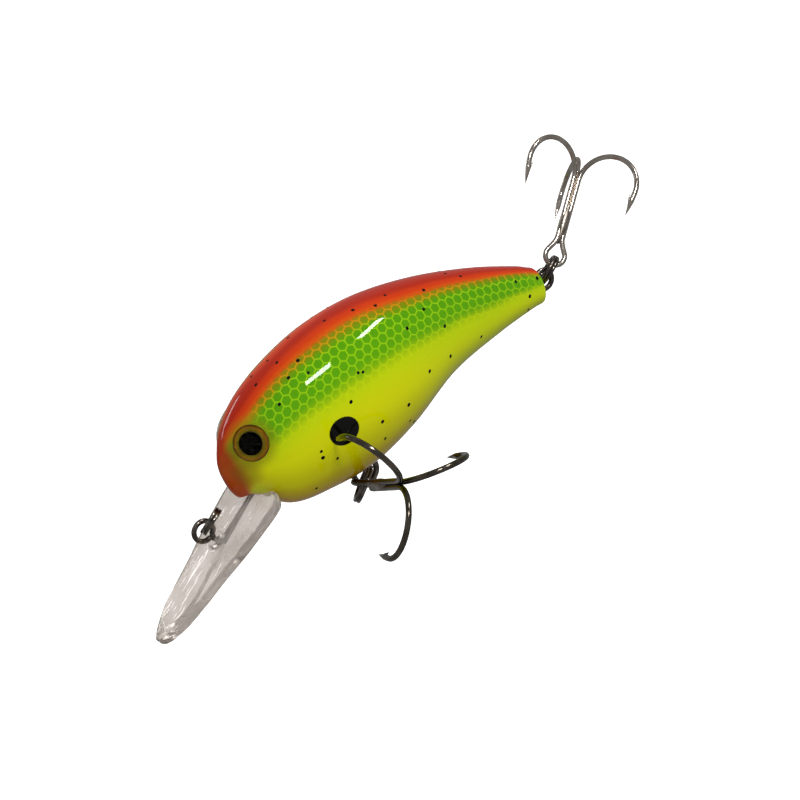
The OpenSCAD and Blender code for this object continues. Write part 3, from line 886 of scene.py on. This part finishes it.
inside_lip = [along_lip(reach, 0) for reach in (-6.0, -3, 0, 3, 5.6, 6.6)]
up_to_tie = [along_lip(7.2, 0.1), along_lip(7.6, 0.35), along_lip(7.85, 0.8), along_lip(TIE_REACH, 1.4),
             along_lip(TIE_REACH, 1.95)]
bent_wire("line_tie", [(along_lip(TIE_ANCHOR_REACH, 0), 1.3), (along_lip(TIE_REACH, TIE_HEIGHT), 1.5)],
          inside_lip + up_to_tie, TIE_WIRE, ["line_tie_wire"])
bent_wire("belly_wire", [(BELLY_ANCHOR, ANCHOR_RADIUS), (BELLY_EYE, 1.92)],
          straight(BELLY_ANCHOR, BELLY_EYE, 2.0, 2.55, 3), BELLY_WIRE, ["belly_hanger"])
bent_wire("tail_wire", [(TAIL_ANCHOR, ANCHOR_RADIUS), (TAIL_EYE, 1.47)],
          straight(TAIL_ANCHOR, TAIL_EYE, 2.1, 2.1), TAIL_WIRE, ["tail_hanger"])

# ---- Split rings: two turns of flat wire that cross once ----

RING_WIDTH, RING_HEIGHT = 0.55, 1.0
RING_TURNS = 2 * 360 - 6
RING_CROSSING = (340, 385)
RING_STEPS_ROUND, RING_SIDES = 150, 16
RING_END_SIZES = (0.82, 0.97)
WIRE_SQUARENESS = 0.55


def split_ring(name, node, axis, radius, start, body):
    """A ring about the middle of its CAD node's box; start is the angle of its first end."""
    low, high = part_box(node)
    centre = ((low + high) / 2 - NOSE) / MM
    w = Vector(axis).normalized()
    u = w.orthogonal().normalized()
    v = w.cross(u)
    steps, sides = RING_STEPS_ROUND, RING_SIDES
    points, faces = [], []
    for i in range(steps + 1):
        turn = RING_TURNS * i / steps
        side = smooth_share(turn, *RING_CROSSING) * 2 - 1
        a = math.radians(start + turn)
        out = u * math.cos(a) + v * math.sin(a)
        end = min(i, steps - i)
        size = 1 if end > 1 else RING_END_SIZES[end]
        for k in range(sides):
            b = 2 * math.pi * k / sides
            c, s = math.cos(b), math.sin(b)
            across = math.copysign(abs(c) ** WIRE_SQUARENESS, c) * RING_WIDTH / 2 * size
            up = math.copysign(abs(s) ** WIRE_SQUARENESS, s) * (RING_HEIGHT / 4 - 0.01) * size
            points.append(centre + out * (radius + across) + w * (side * RING_HEIGHT / 4 + up))
        if i:
            for k in range(sides):
                p, q = (i - 1) * sides, i * sides
                faces.append([p + k, q + k, q + (k + 1) % sides, p + (k + 1) % sides])
    for end, order in ((0, 1), (steps, -1)):
        faces.append([end * sides + k for k in range(sides)][::order])
    return add_mesh(name, points, faces, ring_metal, body, [node], "black_nickel_ring")


TIE_RING_AXIS = (0.426, -0.549, -0.717)
axes = {joint["name"]: joint["axis"] for joint in frame["joints"]}
split_ring("tie_ring_coil", "line_tie_split_ring", TIE_RING_AXIS, 1.85, 200, "line_tie_ring")
split_ring("belly_ring_coil", "belly_split_ring", axes["belly_hook_swing"], 2.6, 40, "belly_ring")
split_ring("tail_ring_coil", "tail_split_ring", axes["tail_hook_swing"], 2.1, 300, "tail_ring")

# ---- Treble hooks ----

# A treble's own axes: its eye at the origin, z along the shanks and x towards the single hook
HOOK_WIRE, HOOK_EYE_RADIUS, SHANK, BEND = 0.78, 1.4, 11.6, 4.38
BEND_ANGLE, POINT, TIP = 188, 4.0, 2.6
BEND_STEPS = 36
TIP_STEPS = 9
SHANKS_X, DOUBLE_OFFSET, SINGLE_OFFSET = 0.215, 0.43, 0.485
DOUBLE_TURN = 120
DOUBLE_START, SINGLE_START = 4.4, 1.95
HOOK_LOOP_START, HOOK_LOOP_TURN, HOOK_LOOP_STEPS = 60, 240, 18
WIRE_STEPS = 3
SINGLE_END_SHARES = (0.35, 0.7, 0.9, 0.98)

# The barb's middle line: distance back from the tip, distance in from the wire's middle
BARB_LINE = [(1.6, 0.1), (2.05, 0.24), (2.5, 0.4), (2.95, 0.58), (3.3, 0.76)]
BARB_RADIUS, BARB_FLATNESS = 0.21, 0.35

# The last points of the double hook's neck before its eye: y, z
NECK = [(0.53, 2.02), (0.77, 1.5), (1.02, 1.05)]
BRAZE_START, BRAZE_LENGTH = 2.0, 6.0
BRAZE_END, BRAZE_SWELL, BRAZE_LOBE = 0.25, 0.5, 0.04
BRAZE_SIDES, BRAZE_ROWS = 36, 26


def arm_path(turn, offset, start_z):
    """Shank, bend and point of one hook: points, radii, and the tip's place, its way and the way inward."""
    d = Vector((math.cos(math.radians(turn)), math.sin(math.radians(turn)), 0))
    z = Vector((0, 0, 1))
    origin = Vector((SHANKS_X, 0, 0))
    path = [origin + d * offset + z * h for h in np.linspace(start_z, SHANK - 0.8, 9)]
    centre = origin + d * (offset + BEND) + z * SHANK
    for k in range(BEND_STEPS + 1):
        a = math.radians(BEND_ANGLE * k / BEND_STEPS)
        path.append(centre - d * (BEND * math.cos(a)) + z * (BEND * math.sin(a)))
    lean = math.radians(BEND_ANGLE - 180)
    way = -z * math.cos(lean) - d * math.sin(lean)
    root = path[-1]
    length = POINT - BEND * math.sin(lean)
    radii = [HOOK_WIRE / 2] * len(path)
    straight_length = length - TIP
    for k in range(1, 5):
        path.append(root + way * (straight_length * k / 4))
        radii.append(HOOK_WIRE / 2)
    for k in range(1, TIP_STEPS + 1):
        share = k / TIP_STEPS
        path.append(root + way * (straight_length + TIP * share))
        radii.append(HOOK_WIRE / 2 * (1 - share ** 1.25) + 0.035)
    inward = (-d * math.cos(lean) + z * math.sin(lean)).normalized()
    return path, radii, (root + way * length, way, inward)


def barb(tip):
    """A sliver cut up out of the point, leaning back from the tip."""
    place, way, inward = tip
    path = spline([place - way * behind + inward * off for behind, off in BARB_LINE], 4)
    n = len(path) - 1
    radii = [BARB_RADIUS * (1 - (k / n) ** 2) + 0.02 for k in range(n + 1)]
    side = way.cross(inward).normalized()
    return sweep(path, radii, 12, (side, BARB_FLATNESS))


def fine_radii(radii, count):
    """Radii for the points that spline adds between the given ones."""
    return [float(np.interp(i / WIRE_STEPS, range(len(radii)), radii)) for i in range(count)]


def double_hook():
    """Two hooks bent from one wire, with the eye between them."""
    right, right_radii, right_tip = arm_path(DOUBLE_TURN, DOUBLE_OFFSET, DOUBLE_START)
    left, left_radii, left_tip = arm_path(-DOUBLE_TURN, DOUBLE_OFFSET, DOUBLE_START)
    shank_y = DOUBLE_OFFSET * math.sin(math.radians(DOUBLE_TURN))
    neck = [(0, shank_y, 3.6), (0, shank_y, 3.0), (0, shank_y + 0.03, 2.5)] + [(0, y, z) for y, z in NECK]
    loop = []
    for k in range(HOOK_LOOP_STEPS + 1):
        a = math.radians(HOOK_LOOP_START + HOOK_LOOP_TURN * k / HOOK_LOOP_STEPS)
        loop.append((0, HOOK_EYE_RADIUS * math.sin(a), HOOK_EYE_RADIUS * math.cos(a)))
    back = [(0, -y, z) for _, y, z in reversed(neck)]
    control = [tuple(p) for p in reversed(right)] + neck + loop + back + [tuple(p) for p in left]
    radii = list(reversed(right_radii)) + [HOOK_WIRE / 2] * (len(neck) + len(loop) + len(back)) + left_radii
    path = spline(control, WIRE_STEPS)
    return merged([sweep(path, fine_radii(radii, len(path))), barb(right_tip), barb(left_tip)])


def single_hook():
    """The third hook, whose shank ends below the eye with a rounded end."""
    control, radii, tip = arm_path(0, SINGLE_OFFSET, SINGLE_START)
    path = spline([tuple(p) for p in control], WIRE_STEPS)
    fine = fine_radii(radii, len(path))
    for k, share in enumerate(SINGLE_END_SHARES):
        fine[k] *= share
    return merged([sweep(path, fine), barb(tip)])


def braze():
    """Solder that fills the grooves between the three shanks, thinning at both ends."""
    points, faces, sides, rows = [], [], BRAZE_SIDES, BRAZE_ROWS
    for i in range(rows + 1):
        share = i / rows
        h = BRAZE_START + BRAZE_LENGTH * share
        swell = math.sin(math.pi * share) ** 0.35 if 0 < share < 1 else 0.0
        for k in range(sides):
            a = 2 * math.pi * k / sides
            lobe = 0.5 + 0.5 * math.cos(3 * a)
            r = BRAZE_END + swell * (BRAZE_SWELL + BRAZE_LOBE * lobe)
            points.append(Vector((SHANKS_X + r * math.cos(a), r * math.sin(a), h)))
        if i:
            for k in range(sides):
                p, q = (i - 1) * sides, i * sides
                faces.append([p + k, p + (k + 1) % sides, q + (k + 1) % sides, q + k])
    faces.append(list(range(sides))[::-1])
    faces.append([rows * sides + k for k in range(sides)])
    return points, faces


# Where each treble hangs: its eye, the way of its shanks, the side of its single hook and its size
TREBLES = {
    "belly": ((18.84, -3.72, -11.15), (-0.05, -0.937, 0.345), (-0.579, -0.254, -0.774), 1.13),
    "tail": ((61.58, 0.71, 3.63), (0.718, 0.237, 0.654), (0.186, 0.841, -0.509), 1.03),
}


def placed(shape, treble):
    """A hook shape moved from its own axes to where the treble hangs."""
    place, shank, single_side, size = treble
    z = Vector(shank).normalized()
    y = z.cross(Vector(single_side)).normalized()
    x = y.cross(z)
    points, faces = shape
    return [Vector(place) + (x * p[0] + y * p[1] + z * p[2]) * size for p in points], faces


for word, treble in TREBLES.items():
    body = f"{word}_hook"
    # The belly treble takes the metal darkened with painted shade, the tail treble the one lightened with
    # painted reflection
    hook_painted_light_metal = belly_hook_painted_shade_metal if word == "belly" else tail_hook_painted_reflection_metal
    add_mesh(f"{word}_double_wire", *placed(double_hook(), treble), hook_painted_light_metal, body,
             [f"{word}_double_hook"], "black_nickel_hook")
    add_mesh(f"{word}_single_wire", *placed(single_hook(), treble), hook_painted_light_metal, body,
             [f"{word}_single_hook"], "black_nickel_hook")
    add_mesh(f"{word}_braze_fillet", *placed(braze(), treble), braze_metal, body,
             [f"{word}_hook_braze"], "plated_braze")

# ---- Hidden pieces that stay as CAD made them ----

HIDDEN = {"ballast_weight": ballast_metal, "front_rattle_ball": ball_metal, "rear_rattle_ball": ball_metal}
for node, material in HIDDEN.items():
    mesh = frame["nodes"][node].data
    mesh.materials.clear()
    mesh.materials.append(material)

# ---- Floor, light and camera ----

# In metres from here on
FLOOR_DROP = 0.09
FLOOR_GLOW, BACKDROP_GLOW = 0.45, 0.85
STAGE_RADIUS = 3.0
STAGE_STEPS = 24
BACKDROP_ROWS = 10
BACKDROP_TOP = 85
floor_z = cad_box[0][2] - FLOOR_DROP


def stage_piece(name, points, faces, glow):
    """A pale piece of the studio that the camera sees. It doesn't light the lure or show in its gloss."""
    mesh = bpy.data.meshes.new(name)
    mesh.from_pydata(points, [], faces)
    s = Shader(name, Roughness=0.9, Emission_Strength=glow, Emission_Color=(1, 1, 1, 1))
    s.link("Base Color", s.mix(s.noise(6, 2), linear("F7F7F7"), linear("FDFDFD")))
    mesh.materials.append(s.material)
    piece = bpy.data.objects.new(name, mesh)
    piece.visible_diffuse = False
    piece.visible_glossy = False
    bpy.context.scene.collection.objects.link(piece)
    return piece


def stage_floor():
    n = STAGE_STEPS
    line = np.linspace(-STAGE_RADIUS, STAGE_RADIUS, n + 1)
    points = [(x, y, floor_z) for x in line for y in line]
    faces = [[i * (n + 1) + j, (i + 1) * (n + 1) + j, (i + 1) * (n + 1) + j + 1, i * (n + 1) + j + 1]
             for i in range(n) for j in range(n)]
    stage_piece("pale_floor", points, faces, FLOOR_GLOW)


def stage_backdrop():
    """A round wall and dome that stand on the floor."""
    n, rows = 2 * STAGE_STEPS, BACKDROP_ROWS
    points, faces = [], []
    for i in range(rows + 1):
        rise = math.radians(BACKDROP_TOP * i / rows)
        reach, z = STAGE_RADIUS * 0.98 * math.cos(rise), floor_z + STAGE_RADIUS * math.sin(rise)
        for k in range(n):
            a = 2 * math.pi * k / n
            points.append((reach * math.cos(a), reach * math.sin(a), z))
            if i < rows:
                now, after = i * n + k, i * n + (k + 1) % n
                faces.append([now, after, after + n, now + n])
    backdrop = stage_piece("pale_backdrop", points, faces, BACKDROP_GLOW)
    backdrop.visible_shadow = False


stage_backdrop()
stage_floor()
LIGHTS_AIM = NOSE + Vector((24, 0, 3)) * MM


def softbox(name, way, distance, width, height, radiance, mirrored=True):
    """A rectangular light seen from the lure in the direction way; mirrored lights show in gloss."""
    light = bpy.data.lights.new(name, "AREA")
    light.shape = "RECTANGLE"
    light.size, light.size_y = width, height
    light.energy = radiance * math.pi * width * height
    lamp = bpy.data.objects.new(name, light)
    way = Vector(way).normalized()
    lamp.location = LIGHTS_AIM + way * distance
    lamp.visible_glossy = mirrored
    lamp.rotation_euler = way.to_track_quat("Z", "Y").to_euler()
    bpy.context.scene.collection.objects.link(lamp)


softbox("key_left", (-0.02, -0.63, 0.78), 0.6, 0.13, 0.075, 45)
softbox("key_right", (0.45, -0.40, 0.8), 0.6, 0.16, 0.055, 45)
softbox("back_strip", (-0.42, 0.82, 0.38), 0.7, 0.45, 0.05, 5)
softbox("top_fill", (0.3, 0.6, 0.75), 0.9, 0.8, 0.4, 5, mirrored=False)
softbox("front_fill", (-0.34, -0.83, 0.3), 0.8, 0.5, 0.5, 1.6, mirrored=False)

WORLD_STRENGTH = 0.3
world = bpy.data.worlds.new("studio")
world.use_nodes = True
background = world.node_tree.nodes["Background"]
background.inputs["Color"].default_value = (1, 1, 1, 1)
background.inputs["Strength"].default_value = WORLD_STRENGTH
bpy.context.scene.world = world
bpy.context.scene.view_settings.view_transform = "Standard"

# The camera, about where the photo's stood: directions in the frame, distance and aim from the nose
BACK = Vector((-0.3371, -0.8332, 0.4382))
RIGHT = Vector((0.8210, -0.4880, -0.2964))
UP = Vector((0.4609, 0.2599, 0.8486))
CAMERA_DISTANCE = 0.390
AIM_RIGHT, AIM_UP = 0.02506, 0.0099
camera_data = bpy.data.cameras.new("photo_view")
camera_data.lens = 126.5
camera_data.sensor_width = 36
camera = bpy.data.objects.new("photo_view", camera_data)
place = NOSE + BACK * CAMERA_DISTANCE
target = NOSE + RIGHT * AIM_RIGHT + UP * AIM_UP
back = (place - target).normalized()
right = UP.cross(back).normalized()
up = back.cross(right)
camera.matrix_world = Matrix.Translation(place) @ Matrix((right, up, back)).transposed().to_4x4()
bpy.context.scene.collection.objects.link(camera)
bpy.context.scene.camera = camera
